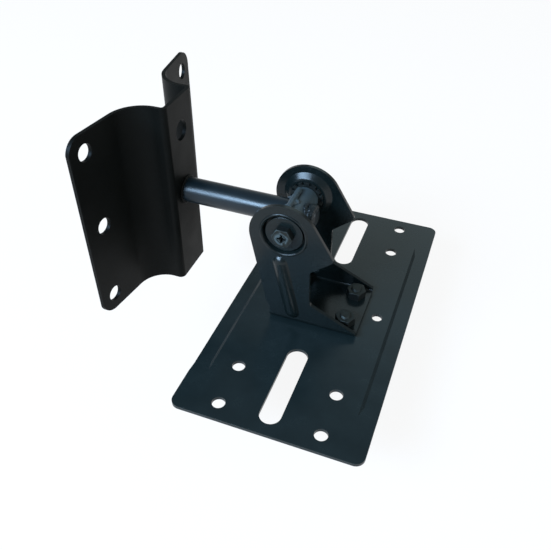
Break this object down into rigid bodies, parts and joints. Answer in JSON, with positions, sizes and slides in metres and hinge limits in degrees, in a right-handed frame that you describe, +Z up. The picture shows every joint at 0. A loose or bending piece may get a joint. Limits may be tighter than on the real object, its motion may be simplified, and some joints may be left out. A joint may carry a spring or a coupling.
{
  "type": "speaker wall bracket",
  "caption": "Black steel wall bracket for a loudspeaker: folded wall plate, round arm and a tilting fork that carries a slotted speaker plate.",
  "frame": {"origin": "on the wall's surface, in line with the arm, which is the middle of the corner screw holes", "axes": "+X out of the wall along the arm, +Y along the wall and the tilt axis, +Z up"},
  "size_m": [0.1593, 0.193, 0.117],
  "materials": {
    "black_wall_coat": "semi-gloss black powder coat",
    "black_cradle_coat": "semi-gloss black powder coat",
    "black_fastener": "black zinc, satin"
  },
  "bodies": {
    "wall_side": {"wall_plate": "black_wall_coat", "arm": "black_wall_coat", "arm_root_weld": "black_wall_coat", "pivot_bar": "black_wall_coat", "pivot_weld": "black_wall_coat", "tail_weld": "black_wall_coat", "pivot_screw_near": "black_fastener", "pivot_screw_far": "black_fastener", "pivot_washer_near": "black_fastener", "pivot_washer_far": "black_fastener", "tooth_washer_near": "black_fastener", "tooth_washer_far": "black_fastener"},
    "speaker_side": {"yoke": "black_cradle_coat", "speaker_plate": "black_cradle_coat", "plate_screw_1": "black_fastener", "plate_screw_2": "black_fastener", "plate_screw_3": "black_fastener", "plate_screw_4": "black_fastener", "plate_nut_1": "black_fastener", "plate_nut_2": "black_fastener", "plate_nut_3": "black_fastener", "plate_nut_4": "black_fastener"}
  },
  "joints": [
    {"name": "tilt", "type": "hinge", "parent": "wall_side", "child": "speaker_side", "pos_m": [0.0918, 0, 0], "axis": [0, 1, 0], "range_deg": [-180, 36]}
  ]
}
